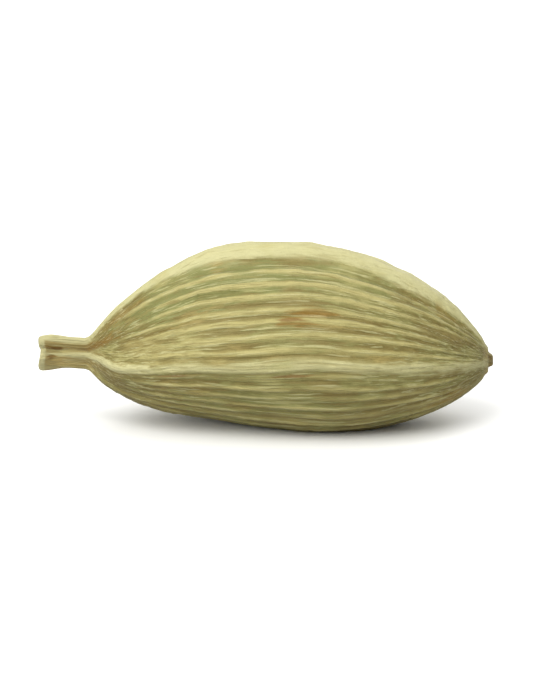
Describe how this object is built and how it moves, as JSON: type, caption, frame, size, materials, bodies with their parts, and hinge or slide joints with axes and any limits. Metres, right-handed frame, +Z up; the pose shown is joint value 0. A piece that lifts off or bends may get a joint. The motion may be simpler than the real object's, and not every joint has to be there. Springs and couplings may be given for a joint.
{
  "type": "green cardamom pod",
  "caption": "Whole dried green cardamom pod lying on its side: a three-sided ribbed husk with a short stalk stub at one end and a flower scar at the other.",
  "frame": {"origin": "on the surface that the pod lies on, under the middle of the pod's box", "axes": "+X along the pod from the stalk stub to the flower scar, +Z up, -Y towards the side that the picture shows"},
  "size_m": [0.0188, 0.0078, 0.0078],
  "materials": {
    "husk": "dry, pale straw-green fibrous husk, matt, with paler ribs and browner grooves"
  },
  "bodies": {
    "root": {"cardamom_pod": "husk"}
  },
  "joints": []
}
